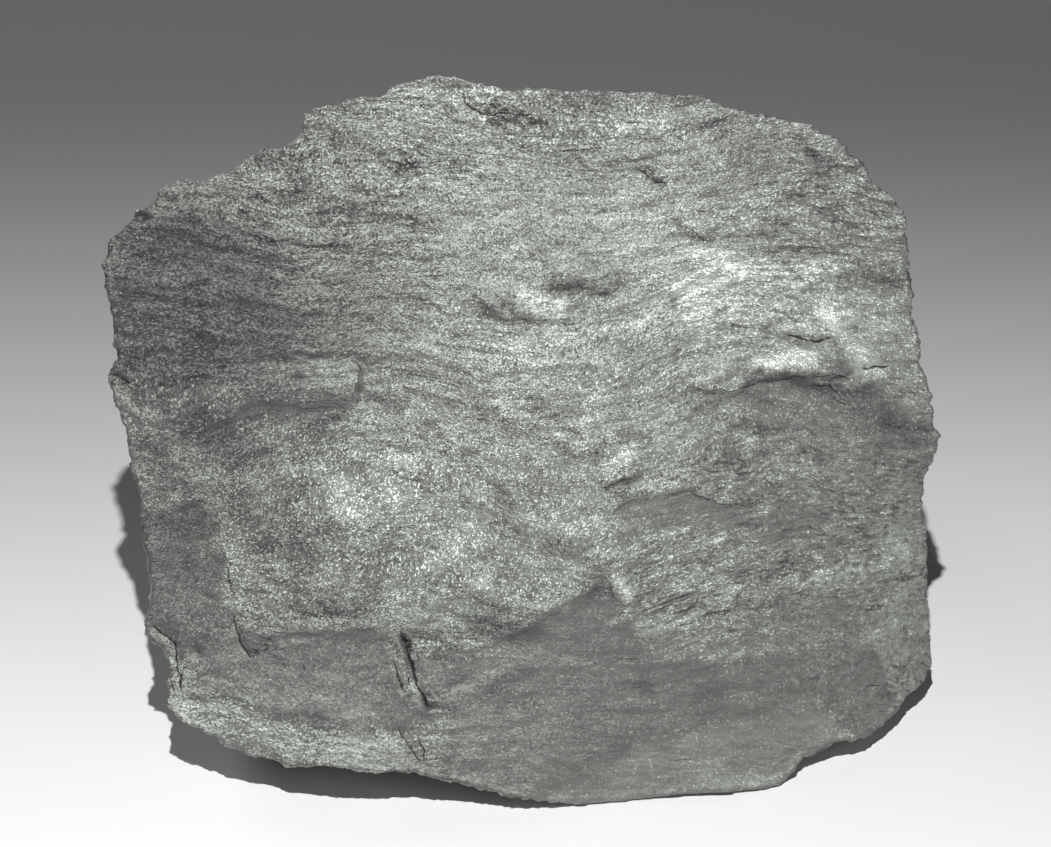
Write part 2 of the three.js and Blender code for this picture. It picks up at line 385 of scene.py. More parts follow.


# %% [markdown]
# ## Calm, granular and layered stone
#
# Where the stone parted along one flat cleavage it is `calm`: fine, dull and smooth. Elsewhere the
# break runs through many small crystals, so it is granular, and glitters. The shapes of these zones
# are what an eye recognises, so each is an outline with a soft edge, and not a noise. Every zone is
# also lighter or darker than the rest of the stone, in its colour. Where the upper left, the top
# left, the whole left side and the stone under the long ledge are darker, that is painted shade. The
# foliation and the finish both read the numbers that come out of this step, which is why it comes
# first and stores them on the mesh.

# %% Zones
ZONES = [
    # how calm (below 0: that much less calm than it was), how much lighter, softness of the edge,
    # outline
    (0.95, -0.35, 0.9, [  # the band along the bottom, right of the open crack
        seen(407, 642), seen(433, 655), seen(469, 651), (-3.4, 17.8), (1.4, 19.9), (5.2, 22.7), (9.3, 24.4),
        (10.4, 21.6),
        (13.6, 17.2), (22.0, 15.6), (30.0, 16.4), (36.0, 18.4), (38.4, 17.0), (40.6, 12.5), (43.0, 10.5),
        (47.0, 8.0), (28.0, -2.0), (-9.0, -2.0), (-9.0, 10.0),
    ]),
    (0.6, -0.20, 2.2, [  # where its right end dies away upwards
        (12.0, 20.6), (14.0, 16.0), (22.0, 16.0), (36.0, 18.6), (38.0, 17.0), (38.5, 21.0), (35.0, 23.0),
        (30.0, 21.4), (22.0, 18.8),
    ]),
    (1.0, -0.42, 1.0, [  # the facet left of the open crack
        (-31.6, 20.4), (-28.7, 18.9), (-23.4, 19.3), (-16.6, 19.9), (-13.7, 19.8), seen(407, 642),
        (-9.0, 10.0), (-12.0, 7.5), (-21.0, 8.5), (-30.0, 11.0), (-37.0, 12.5), (-35.5, 15.5),
    ]),
    (0.88, -0.50, 0.8, [  # matte facet on the left
        (-43.0, 33.0), (-34.3, 33.3), (-32.8, 26.7), seen(232, 594), (-31.7, 20.5), (-36.0, 14.0),
        (-42.5, 18.0),
    ]),
    (0.8, -0.14, 1.1, [  # under the lens on the right
        (9.8, 32.4), (13.7, 33.6), (17.6, 34.4), (24.9, 32.8), (33.0, 33.4), (33.0, 31.0), (20.0, 29.4),
        (11.0, 30.4),
    ]),
    (0.5, -0.18, 1.0, [  # under the long ledge: calmer, and darker as painted shade where it faces down
        (22.0, 45.4), (25.4, 46.3), (30.0, 47.0), (37.0, 46.3), (41.5, 44.0), (40.5, 41.5), (34.0, 40.3),
        (25.5, 41.0),
    ]),
    (0.5, 0.02, 1.0, [  # the pale plateau on the left
        (-36.5, 49.5), (-27.0, 48.0), (-19.0, 49.0), seen(360, 381), (-18.8, 44.2), (-28.0, 44.8),
        (-36.0, 41.0),
    ]),
    (0.75, -0.40, 3.5, [  # upper left, darker: painted shade
        (-48.0, 63.0), (-36.0, 67.0), (-30.0, 61.5), (-23.5, 52.5), (-26.0, 48.0), (-48.0, 46.0),
    ]),
    (0.5, -0.46, 8.0, [  # the whole left side, darker: painted shade
        (-50.0, 77.0), (-36.0, 70.0), (-24.0, 64.0), (-15.0, 56.0), (-15.0, 47.0), (-26.0, 37.0),
        (-34.0, 30.0), (-50.0, 30.0),
    ]),
    (0.35, -0.22, 5.0, [  # above the middle
        (-24.0, 67.0), (6.0, 68.0), (14.0, 62.0), (8.0, 52.0), (-22.0, 51.0),
    ]),
    (0.0, -0.14, 4.0, [  # the top of the face
        (-12.0, 86.0), (42.0, 86.0), (42.0, 64.0), (10.0, 68.0), (-12.0, 72.0),
    ]),
    (0.0, -0.25, 6.0, [  # the top left, darker: painted shade
        (-40.0, 84.0), (-18.0, 84.0), (-12.0, 70.0), (-14.0, 60.0), (-40.0, 60.0),
    ]),
    (0.0, -0.20, 3.0, [  # right of the matte facet
        (-31.0, 35.0), (-23.0, 34.0), (-16.0, 26.0), (-15.0, 19.0), (-31.0, 19.0),
    ]),
    (0.6, -0.27, 2.2, [  # the foot of the face on the left
        (-38.0, 13.0), (-34.0, 5.0), (-20.0, 2.0), (-8.0, 1.0), (-8.0, 7.0), (-20.0, 9.5), (-30.0, 11.5),
    ]),
    (0.0, -0.12, 4.0, [  # above the band along the bottom
        (10.0, 30.0), (36.0, 31.0), (38.0, 20.0), (12.0, 19.0),
    ]),
    (-0.8, 0.0, 0.5, [  # the sliver between the open crack and the hairline left of it
        (-14.4, 18.0), (-13.2, 17.8), (-12.2, 14.6), (-10.9, 11.4), (-12.6, 11.8), (-14.0, 14.6),
    ]),
    (-0.55, 0.22, 2.2, [  # the right end of the band
        (30.0, 17.0), (37.0, 19.0), (44.0, 16.0), (46.0, 8.0), (40.0, 5.0), (33.0, 9.0),
    ]),
    (1.0, 0.35, 0.9, [  # a paler patch at the bottom right
        seen(640, 748), (20.5, 8.0), seen(809, 709), (36.8, 7.3), (32.0, 0.0), (-2.0, -2.0), (4.0, 2.4),
    ]),
    (0.1, -0.12, 4.0, [  # right of the middle
        (24.0, 46.0), (44.0, 44.0), (46.0, 35.0), (34.0, 31.0), (14.0, 29.0), (12.0, 32.0), (24.0, 38.0),
    ]),
]

# %% [markdown]
# Graphite is built of sheets, and in some places their edges show one above the other, like the edge
# of a book that is coming apart. In others crystals have grown across them and hide them. So there is
# a second table, for how plainly the sheets show, and later rows go over earlier ones.

# %% Layered stone
LAYERED = [
    # how plainly the sheets show, from 0 to 1, softness of the edge, outline
    (0.0, 5.0, [  # the granular middle
        (-36.0, 44.0), (-18.0, 41.0), (-4.0, 46.0), (8.0, 44.0), (9.0, 28.0), (0.0, 22.0), (-14.0, 21.0),
        (-30.0, 22.0), (-44.0, 34.0),
    ]),
    (0.0, 2.0, [(-43.0, 33.0), (-34.3, 33.3), (-31.7, 20.5), (-36.0, 14.0), (-42.5, 18.0)]),
    (1.0, 3.0, [  # above the band on the right
        (10.0, 22.0), (14.0, 29.0), (22.0, 36.0), (46.0, 38.0), (48.0, 20.0), (38.0, 18.5), (21.0, 17.0),
        (13.0, 18.5),
    ]),
    (0.9, 3.0, [(16.0, 54.0), (18.0, 64.0), (34.0, 76.0), (46.0, 62.0), (46.0, 54.0), (30.0, 52.5)]),
    (1.0, 1.2, [  # the foot of the face on the left
        (-38.0, 13.0), (-34.0, 5.0), (-20.0, 2.0), (-8.0, 1.0), (-8.0, 7.0), (-20.0, 9.5), (-30.0, 11.5),
    ]),
    (0.7, 2.0, [(-8.0, 12.0), (10.0, 15.0), (46.0, 18.0), (46.0, 0.0), (-8.0, -2.0)]),
    (0.9, 4.0, [(-24.0, 84.0), (-14.0, 68.0), (10.0, 69.0), (14.0, 84.0)]),
    (0.9, 4.0, [(-48.0, 64.0), (-24.0, 72.0), (-8.0, 66.0), (-8.0, 52.0), (-20.0, 50.0), (-48.0, 47.0)]),
]
LAYERED_ELSEWHERE = 0.45
print("zones:", len(ZONES), "layered or granular areas:", len(LAYERED))

# %% [markdown]
# Last come the gleams: painted highlight and painted shade. A bundle of sheets that happens to lean
# towards the light shines as a bright streak, and one that leans away is a dark one; here no sheet is
# leant, and only the colour along the streak is made lighter or darker. They are too small to have
# an outline, so each is a short line with a width. The outlines and the lines are all made a little
# ragged, because a broken edge never runs straight for long.

# %% Gleams: painted highlight and painted shade
PAINTED_GLEAMS_AND_SHADE = [
    # how much lighter or darker, half width (in mm, or so many pixels of the view), line
    (0.90, 8 * PIXEL, [seen(522, 300), seen(560, 312)]),
    (0.80, 7 * PIXEL, [seen(685, 295), seen(715, 280), seen(740, 268)]),
    (0.60, 1.0, [seen(700, 262), seen(740, 262), seen(790, 276), seen(830, 272)]),
    (1.00, 1.0, [seen(755, 368), seen(780, 362), seen(808, 356)]),
    (0.65, 1.2, [(34.0, 54.0), seen(855, 340), seen(872, 375)]),
    (0.60, 6 * PIXEL, [seen(612, 119), seen(660, 121)]),
    (0.80, 9 * PIXEL, [seen(608, 468), seen(622, 462), seen(636, 452)]),
    (0.60, 8 * PIXEL, [seen(395, 496), seen(415, 488)]),
    (0.50, 6 * PIXEL, [seen(398, 458), seen(410, 466)]),
    (0.50, 9 * PIXEL, [seen(340, 510), seen(350, 508)]),
    (0.50, 9 * PIXEL, [seen(435, 556), seen(460, 545)]),
    (0.30, 14 * PIXEL, [seen(325, 372), seen(345, 376)]),
    (0.60, 7 * PIXEL, [seen(630, 322), seen(648, 318)]),
    (0.40, 6 * PIXEL, [seen(500, 356), seen(520, 344)]),
    (0.50, 6 * PIXEL, [seen(512, 250), seen(522, 248)]),
    (1.00, 0.9, [(10.6, 24.6), (11.4, 23.4)]),
    (0.50, 6 * PIXEL, [seen(480, 588), seen(492, 593)]),
    (0.20, 26 * PIXEL, [seen(560, 190), seen(640, 240)]),
    (0.22, 24 * PIXEL, [seen(500, 345), seen(640, 310), seen(800, 330)]),
    (0.35, 6 * PIXEL, [seen(503, 395), seen(530, 422), seen(565, 437), seen(622, 440)]),
    (0.50, 8 * PIXEL, [seen(588, 412), seen(598, 400)]),
    (0.25, 12 * PIXEL, [seen(640, 630), seen(700, 605), seen(760, 585)]),
    (0.30, 12 * PIXEL, [seen(830, 578), seen(905, 552)]),
    (0.30, 1.1, [(-36.8, 11.0), (-33.0, 9.9), (-29.2, 9.0)]),
    (0.15, 1.4, [seen(260, 728), (-24.0, 7.2), (-19.5, 6.6), (-13.8, 6.4)]),
    (1.05, 0.55, [(-14.0, 16.4), (-13.2, 14.4), (-12.3, 12.4)]),
    (0.70, 0.4, [(-27.0, 18.3), (-23.4, 17.4)]),
    (-0.20, 0.9, [(-30.5, 20.4), (-16.5, 20.8)]),
    (-0.20, 1.2, [(-8.5, 12.6), (-4.5, 13.6), (-1.0, 15.0)]),
    (0.15, 10 * PIXEL, [seen(400, 102), seen(450, 86), seen(480, 95), seen(490, 115)]),
    (0.50, 5 * PIXEL, [seen(548, 142), seen(562, 140)]),
    (0.40, 4 * PIXEL, [seen(700, 540), seen(725, 540)]),
    (0.40, 0.4, [(-1.6, 6.0), (1.6, 5.2)]),
    (0.30, 8 * PIXEL, [seen(832, 160), seen(850, 178)]),
    (0.25, 14 * PIXEL, [seen(300, 205), seen(318, 262)]),
    (-0.30, 6 * PIXEL, [seen(480, 405), seen(505, 425), seen(535, 442), seen(590, 452)]),
    (-0.40, 5 * PIXEL, [seen(545, 282), seen(562, 281), seen(590, 287), seen(602, 290)]),
    (-0.35, 6 * PIXEL, [seen(485, 314), seen(512, 302)]),
    (-0.25, 0.6, [seen(780, 328), seen(795, 334), seen(832, 336)]),
    (-0.45, 9 * PIXEL, [seen(855, 286), seen(875, 278), seen(897, 276)]),
    (-0.50, 6 * PIXEL, [seen(745, 385), seen(780, 380), seen(862, 386)]),
    (-0.35, 18 * PIXEL, [seen(865, 405), seen(900, 425), seen(930, 440)]),
    (-0.35, 5 * PIXEL, [seen(725, 425), seen(750, 428), seen(766, 436)]),
    (-0.40, 4 * PIXEL, [seen(653, 172), seen(668, 183)]),
    (-0.35, 5 * PIXEL, [seen(675, 225), seen(700, 238), seen(712, 248)]),
    (-0.40, 6 * PIXEL, [seen(380, 152), seen(412, 162)]),
    (-0.35, 7 * PIXEL, [seen(500, 110), seen(530, 118), seen(546, 126)]),
    (-0.30, 5 * PIXEL, [seen(365, 215), seen(400, 222), seen(440, 212)]),
    (-0.20, 16 * PIXEL, [seen(725, 140), seen(762, 166)]),
    (-0.25, 6 * PIXEL, [seen(780, 220), seen(800, 222), seen(826, 212)]),
    (-0.40, 8 * PIXEL, [seen(800, 148), seen(832, 163)]),
    (-0.45, 8 * PIXEL, [seen(358, 390), seen(400, 402)]),
    (-0.40, 8 * PIXEL, [seen(313, 427), seen(346, 414)]),
    (-0.30, 8 * PIXEL, [seen(450, 468), seen(462, 476)]),
    (-0.35, 10 * PIXEL, [seen(480, 622), seen(532, 636)]),
    (-0.40, 8 * PIXEL, [seen(596, 594), seen(613, 584)]),
    (-0.40, 6 * PIXEL, [seen(478, 598), seen(502, 606)]),
    (-0.30, 5 * PIXEL, [seen(345, 552), seen(370, 562)]),
    (-0.30, 6 * PIXEL, [seen(298, 598), seen(310, 622)]),
    (-0.20, 14 * PIXEL, [seen(430, 655), seen(452, 672), seen(436, 700)]),
    (-0.30, 6 * PIXEL, [seen(638, 690), seen(657, 685)]),
    (-0.35, 2.2, [seen(200, 430), seen(245, 452)]),
    (-0.30, 1.8, [(-31.5, 34.0), (-29.5, 29.0)]),
    (-0.25, 1.8, [(-26.5, 29.5), (-24.0, 26.5)]),
    (0.25, 2.2, [(-21.0, 33.5), (-15.0, 34.5), (-10.0, 33.5)]),
    (0.18, 2.5, [(-5.5, 33.0), (-4.5, 25.0)]),
    (0.30, 3.6, [(18.0, 57.0), (30.0, 56.0), (38.0, 52.0)]),
    (0.15, 1.8, [(42.5, 28.0), (43.2, 22.0), (43.0, 17.0)]),
    (-0.20, 12 * PIXEL, [seen(188, 285), seen(205, 330), seen(200, 372)]),
    (-0.50, 10 * PIXEL, [seen(250, 160), seen(282, 156), seen(300, 170)]),
]


def zones_at(across, up):
    """How calm the stone is at each point, how much lighter or darker, and how plainly layered."""
    across, up = ragged(across, up, 0.9, 3.0, seed=11)
    calm, tone = np.zeros(len(across)), np.ones(len(across))
    layered = np.full(len(across), LAYERED_ELSEWHERE)
    for amount, lighter, softness, outline in ZONES:
        share = inside(across, up, outline, softness)
        calm = np.maximum(calm, amount * share) * (1 + min(amount, 0) * share)
        tone = tone * (1 + lighter * share)
    for amount, softness, outline in LAYERED:
        layered += (amount - layered) * inside(across, up, outline, softness)
    # The gleams: painted highlight and painted shade, put into the colour.
    for lighter, half_width, line in PAINTED_GLEAMS_AND_SHADE:
        gap = gap_from(across, up, line)
        tone = tone * (1 + lighter * np.exp(-np.abs(gap / half_width) ** 3))
    return calm, tone, layered


print("gleams:", len(PAINTED_GLEAMS_AND_SHADE))

# %% [markdown]
# ## Bends in the sheets
#
# The sheets are not flat either. They rise and fall across the face, steeply in places, and every
# later step that draws a sheet has to follow them. `bend` is how far the sheets have risen at each
# point. Each row of the table tips them about its own spot and leaves the rest of the face alone. A
# spot that is wide and low squeezes the sheets together above it and spreads them below it, which
# looks combed when it is steep, so the steepest rows belong to spots nearly as tall as they are wide.

# %% Bends
BENDS = [
    # across, up, half width, half height, slope of the sheets there
    (-33.0, 58.0, 16.0, 12.0, -0.34),
    (-8.0, 72.0, 20.0, 7.0, -0.20),
    (-30.0, 41.0, 11.0, 10.0, 0.50),
    (-9.0, 46.0, 8.0, 7.0, -0.25),
    (22.0, 68.0, 12.0, 7.0, 0.10),
    (14.0, 50.0, 15.0, 12.0, 0.45),
    (18.0, 24.0, 16.0, 12.0, 0.42),
    (38.0, 24.0, 12.0, 10.0, 0.35),
    (-31.0, 25.0, 10.0, 9.0, -0.30),
    (-16.0, 32.0, 10.0, 10.0, 0.25),
    (-27.0, 8.0, 20.0, 9.0, -0.25),
    (39.0, 71.0, 10.0, 8.0, -0.35),
    (38.0, 5.0, 10.0, 8.0, 0.25),
]
SWIRL = 0.6  # how far the sheets wander besides, mm


def bend_at(across, up):
    """How far the sheets have risen at each point, in millimetres."""
    risen = np.zeros(len(across))
    for x, y, half_width, half_height, slope in BENDS:
        aside = across - x
        risen += slope * aside * np.exp(-(aside / half_width) ** 2 - ((up - y) / half_height) ** 2)
    for octave in range(4):
        shrink = 0.55 ** octave
        risen += SWIRL * shrink * drift(across, up * 1.4, 8.0 * shrink, 51 + octave)
    return risen


print("bend at the middle of the face, mm:", round(float(bend_at(np.zeros(1), np.full(1, 42.0))[0]), 2))

# %% [markdown]
# ## Ledges
#
# A ledge is the end of a thick bundle of sheets. It stands proud on the left of its line and dies
# away behind it; on the other side the stone hollows a little and comes back. A bump map would do for
# a picture from the front. Here it is height added to the points of the mesh instead, so a ledge
# throws its own shadow, shows from the side and stays in the exported model.

# %% Ledges
LEDGES = [
    # rise of the proud side, its reach, drop of the low side, its reach, line (the left of it is proud)
    (0.75, 5.0, 0.5, 3.2, [  # the long ledge on the right
        seen(678, 396), seen(689, 391), seen(732, 391), seen(757, 383), seen(799, 376), seen(844, 376),
        seen(864, 380), seen(869, 388),
    ]),
    (0.6, 9.0, 0.2, 2.0, [(-18.8, 43.9), seen(355, 389), seen(360, 381), seen(362, 368), (-19.2, 49.4)]),
    (0.25, 4.0, 0.2, 2.5, [(-36.5, 40.5), (-29.2, 44.5), (-24.0, 43.6), (-19.0, 44.0)]),
    (0.5, 3.0, 0.5, 3.0, [  # the lens
        (8.8, 30.4), seen(611, 519), seen(625, 503), seen(650, 498), seen(686, 491), seen(721, 505),
        (26.0, 33.0),
    ]),
    (0.3, 4.0, 0.12, 3.5, [  # granular stone above the smooth band
        (-12.0, 17.4), seen(433, 655), seen(469, 651), (-3.4, 17.8), (1.4, 19.9), (5.2, 22.7), (9.0, 24.6),
    ]),
    (0.15, 3.0, 0.1, 2.5, [(-31.0, 19.6), seen(264, 636), seen(313, 633), (-14.5, 19.7)]),
    (0.45, 2.2, 0.3, 3.0, [  # the stone left of the open crack
        (-8.5, 10.9), (-9.9, 10.9), seen(429, 706), (-11.1, 11.8), (-11.8, 13.6), seen(413, 661),
        (-12.9, 17.6), (-13.8, 19.9),
    ]),
    (0.7, 2.5, 0.3, 1.2, [(8.2, 34.9), seen(610, 486), (12.9, 36.3)]),
    (0.35, 1.6, 0.3, 1.5, [(9.2, 26.0), (9.5, 23.4), (11.0, 22.0), (12.6, 22.6)]),
    (0.15, 3.0, 0.0, 2.0, [(-38.0, 33.2), (-35.6, 33.6), (-33.8, 33.0)]),
    (0.12, 4.0, 0.0, 2.0, [(-34.3, 33.3), (-32.8, 26.7), seen(232, 594), (-31.7, 20.0)]),
    (0.25, 3.0, 0.4, 1.5, [(15.5, 55.9), (17.5, 57.0), (19.1, 58.0), (22.0, 58.5)]),
    (0.35, 2.6, 0.15, 1.0, [(-1.8, 53.9), (1.0, 53.2), (5.4, 53.5)]),
    (0.25, 4.0, 0.2, 1.2, [(2.5, 57.2), (6.0, 57.0), (10.2, 56.0)]),
    (0.22, 2.5, 0.15, 1.0, [(-6.4, 55.8), (-3.6, 54.6), (-1.6, 53.4)]),
    (0.22, 2.5, 0.15, 0.8, [(25.8, 64.7), (29.4, 63.9)]),
    (0.22, 2.0, 0.15, 0.8, [(-23.2, 65.6), (-19.0, 65.7)]),
    (0.22, 2.5, 0.15, 0.8, [(-17.8, 65.2), (-13.6, 64.9), (-10.0, 63.9)]),
    (0.2, 2.0, 0.12, 0.8, [(-8.6, 65.1), (-4.6, 65.1)]),
    (0.22, 2.0, 0.12, 0.8, [(-16.0, 71.7), (-12.6, 71.8)]),
    (0.22, 2.0, 0.12, 0.8, [(-10.0, 71.8), (-8.2, 70.9), (-6.2, 70.2)]),
    (0.3, 2.0, 0.2, 1.0, [(-4.6, 75.2), (-1.0, 75.4), (2.2, 74.8)]),
    (0.22, 2.0, 0.12, 1.0, [(16.0, 63.2), seen(689, 236), (20.6, 61.4)]),
    (0.22, 2.0, 0.12, 1.0, [(21.8, 41.8), (25.5, 41.5)]),
    (0.3, 2.0, 0.15, 1.0, [(33.0, 71.4), (35.0, 70.4), (37.6, 70.4)]),
]


def lift_of_ledges(across, up):
    """How far the ledges raise or lower each point, in millimetres."""
    across, up = ragged(across, up, 0.35, 1.8, seed=21)
    lift = np.zeros(len(across))
    for rise, above, drop, below, line in LEDGES:
        gap = gap_from(across, up, line)
        proud = rise * smooth(gap, -0.1, 0.15) * np.exp(-np.maximum(gap, 0) / above)
        down = np.maximum(-gap, 0) / below
        lift += fading(across, up, line, 0.18) * (proud - drop * down * np.exp(1 - down))
    return lift


print("ledges:", len(LEDGES), "highest, mm:", max(row[0] for row in LEDGES))

# %% [markdown]
# ## Cracks and pits
#
# A crack is thinner than one square of the mesh, so the mesh alone cannot draw it crisply. Each one
# is made twice over: as a shallow groove in the mesh, and as a dark hairline inside the groove, which
# the finish draws as painted shade. For the hairline a point stores how many half widths it is from
# the line. That number changes evenly from point to point, so the finish can cut it off sharply
# between them. The foot of each ledge gets a fainter hairline of painted shade of its own, where the
# ledge steps down.

# %% Cracks and pits
CRACKS = [
    # depth of the groove, half width of the dark line in it, line
    (0.4, 0.17, [  # the open crack
        (-13.8, 19.9), (-12.9, 17.6), seen(413, 661), (-11.8, 13.6), (-11.1, 11.8), seen(429, 706),
        (-9.9, 10.9), (-8.5, 10.9),
    ]),
    (0.15, 0.09, [(-14.4, 16.0), (-14.0, 14.8), (-13.6, 13.2), (-13.2, 12.6)]),
    (0.08, 0.07, [(-14.0, 9.2), (-12.9, 7.0), (-11.5, 5.2)]),
    (0.08, 0.07, [(-11.9, 8.0), (-11.2, 6.6), (-11.1, 5.2)]),
    (0.1, 0.09, [(-32.8, 26.2), (-32.4, 24.6), (-31.8, 23.0)]),
    (0.15, 0.10, [(-32.0, 21.4), (-31.9, 20.0), (-31.3, 18.3), (-30.5, 16.9), (-29.9, 16.2)]),
    (0.05, 0.07, [(-36.0, 33.8), (-35.2, 33.4), (-34.2, 33.3)]),
    (0.0, 0.05, [(-30.6, 17.2), (-27.6, 17.4), (-25.6, 17.5)]),
    (0.0, 0.05, [(-24.6, 16.0), (-24.0, 15.0), (-23.2, 14.4)]),
    (0.0, 0.05, [(-29.8, 20.4), (-28.8, 18.8), seen(274, 641)]),
    (0.15, 0.09, [(-41.5, 19.9), (-39.9, 19.0), (-38.4, 18.0), (-38.2, 16.2), (-37.9, 14.0), (-37.6, 12.4)]),
    (0.1, 0.07, [(-39.9, 15.2), (-39.0, 14.4), (-38.5, 12.6)]),
    (0.25, 0.10, [(-7.1, 79.0), seen(466, 103), seen(481, 114), (-1.5, 76.1), (1.6, 75.9)]),
    (0.25, 0.12, [(28.4, 51.9), (30.2, 51.4), (32.0, 51.2), (33.9, 51.6)]),
    (0.4, 0.09, [(37.2, 48.1), (40.6, 48.5)]),
    (0.3, 0.08, [(31.6, 46.4), seen(833, 386), (35.1, 45.0)]),
    (0.3, 0.08, [(34.0, 44.9), (35.7, 43.7)]),
    (0.4, 0.10, [(12.2, 70.4), seen(646, 173), seen(654, 183), (15.5, 68.5)]),
    (0.2, 0.10, [(-45.6, 47.8), (-43.4, 46.5)]),
    (0.1, 0.07, [(-43.7, 45.0), (-42.5, 43.6)]),
    (0.0, 0.05, [(38.0, 12.8), (39.8, 12.9)]),
    (0.0, 0.04, [(9.8, 16.4), (12.4, 16.3)]),
    (0.0, 0.03, [(2.4, 9.1), (4.6, 9.0), (7.0, 8.6)]),
    (0.0, 0.03, [(15.7, 5.0), (18.2, 5.2)]),
    (0.3, 0.08, [(16.4, 64.0), (18.4, 63.2), seen(712, 248)]),
]
PITS = [
    # depth, radius, middle
    (0.8, 0.45, seen(916, 634)),
    (0.9, 0.6, (-42.4, 64.9)),
    (0.5, 0.5, (-36.2, 16.9)),
    (0.5, 0.5, (40.6, 56.3)),
]
GROOVE = 0.3  # half width of the hollow about a crack, mm
AT_A_LEDGE = (0.06, 1.2)  # half width of the hairline in mm, darkness for each mm the ledge rises


def depth_of_cracks(across, up):
    """How far the cracks and pits lower each point, in millimetres."""
    across, up = ragged(across, up, 0.18, 0.9, seed=31)
    depth = np.zeros(len(across))
    for deep, _, line in CRACKS:
        gap = gap_from(across, up, line)
        groove = deep * np.exp(-(gap / GROOVE) ** 2)
        depth = np.maximum(depth, groove * fading(across, up, line, 0.12))
    for deep, radius, (x, y) in PITS:
        gap = np.hypot(across - x, up - y)
        depth = np.maximum(depth, deep * np.exp(-(gap / radius) ** 2))
    return depth


# %% Hairlines
def hairlines_at(across, up):
    """How many half widths each point is from the nearest dark line of painted shade, and how dark it is."""
    across, up = ragged(across, up, 0.18, 0.9, seed=31)
    lines = [(half_width, 1.0, line) for _, half_width, line in CRACKS]
    lines += [(AT_A_LEDGE[0], AT_A_LEDGE[1] * rise, line) for rise, _, _, _, line in LEDGES]
    nearest = np.full(len(across), 20.0)
    dark = np.zeros(len(across))
    for half_width, strength, line in lines:
        gap = gap_from(across, up, line)
        widths = gap / half_width
        nearer = (np.abs(gap) < 1.0) & (np.abs(widths) < np.abs(nearest))
        nearest[nearer] = widths[nearer]
        here = strength * fading(across, up, line, 0.12) * smooth(-np.abs(gap), -0.9, -0.55)
        dark[nearer] = here[nearer]
    return nearest, dark


print("cracks:", len(CRACKS), "pits:", len(PITS))

# %% [markdown]
# ## Carving
#
# Only the broad face is carved, so each point needs to know how much it belongs to that face:
# `facing` is 1 on it, 0 on the sides, and changes smoothly over the rim. `free` is 0 on the foot of
# the block and 1 a little above it. Everything that moves points is multiplied by it, which keeps the
# foot flat and the block standing exactly where its CAD model stands.

# %% Reading and storing
def points_of(mesh):
    """The points of a mesh, one row each."""
    flat = np.empty(len(mesh.vertices) * 3)
    mesh.vertices.foreach_get("co", flat)
    return flat.reshape(-1, 3)


def normals_of(mesh):
    """The directions that the points of a mesh face."""
    flat = np.empty(len(mesh.vertices) * 3)
    mesh.vertex_normals.foreach_get("vector", flat)
    return flat.reshape(-1, 3)


def store(mesh, name, values):
    """Keep one number for each point of a mesh, by name."""
    attribute = mesh.attributes.get(name) or mesh.attributes.new(name, "FLOAT", "POINT")
    attribute.data.foreach_set("value", values.astype(np.float32))


def height_above_table(points):
    """How high points on the bench stand once the block is upright, in millimetres."""
    return points[:, 1] * math.cos(LEAN) + points[:, 2] * math.sin(LEAN)


# %% Carve the ledges and cracks
points, normals = points_of(rough), normals_of(rough)
across, up = points[:, 0], points[:, 1]
facing = smooth(normals[:, 2], 0.25, 0.7)
facing_back = smooth(-normals[:, 2], 0.25, 0.7)
free = smooth(height_above_table(points), 0.1, 1.6)
lift = (lift_of_ledges(across, up) - depth_of_cracks(across, up)) * facing * free
calm, tone, layered = zones_at(across, up)
hairline, dark = hairlines_at(across, up)
bend = bend_at(across, up)

points[:, 2] += lift
rough.vertices.foreach_set("co", points.ravel())
rough.update()
store(rough, "front", facing)
store(rough, "facing", np.maximum(facing, facing_back))
store(rough, "free", free)
store(rough, "calm", calm * facing)
# tone carries the zones' lighter and darker grey, part of it painted shade, and the gleams' painted
# highlight and painted shade.
store(rough, "tone", 1 + (tone - 1) * facing)
store(rough, "layered", layered)
store(rough, "bend", bend)
store(rough, "hairline", hairline)
# dark: the hairlines' painted shade, in the cracks and at the foot of the ledges
store(rough, "dark", dark * facing)
print("ledges and cracks, mm: from", round(lift.min(), 2), "to", round(lift.max(), 2))

# %% [markdown]
# ## Foliation
#
# A broken face cuts across the sheets, so it looks like a badly stacked deck of cards: each sheet
# ends in a small step that faces down, and above it the surface leans back a little. That follows a
# rule, so Geometry Nodes can make it: a saw tooth, repeated up the face at two sizes and broken up by
# noise. Sheets also come away in flakes, which are stretched Voronoi cells, each with a height and a
# tilt of its own, and between them lie crumbs. Painting it all on would be quicker, but a painted
# step keeps its shadow when the lamp moves.

# %% The foliation's numbers
FOLIATION_INPUTS = {
    # name: value, all but the seed in millimetres
    "Sheet spacing": 5.6,
    "Sheet rise": 0.28,
    "Leaf spacing": 2.1,
    "Leaf rise": 0.13,
    "Flake length": 4.2,
    "Flake width": 1.3,
    "Flake rise": 0.07,
    "Lump size": 12.0,
    "Lump rise": 1.4,
    "Crumb size": 1.9,
    "Crumb rise": 0.22,
    "Cut spacing": 3.4,
    "Cut rise": 0.3,
    "Rim size": 2.2,
    "Rim rise": 2.4,
    "Seed": 4.0,
}


def named(wiring, name):
    """A number stored on the points of the mesh."""
    return wiring.add("GeometryNodeInputNamedAttribute", {"data_type": "FLOAT"}, {"Name": name})["Attribute"]


# %% Sheets
def saw(w, height, where, spacing, rise, seed):
    """Sheets of one size: each stands proud at its lower edge and dies away above it."""
    turn = height / spacing + 1.3 * w.noise(where, seed)
    share = w.math("FRACT", turn)
    sheet = turn - share
    patch = w.add(
        "ShaderNodeTexNoise", {"noise_dimensions": "4D"},
        {"Vector": where, "W": sheet * 3.7 + seed, "Scale": 2.2, "Detail": 1.0},
    )[0]
    return rise * (1 - share) * w.step(patch, 0.36, 0.62)


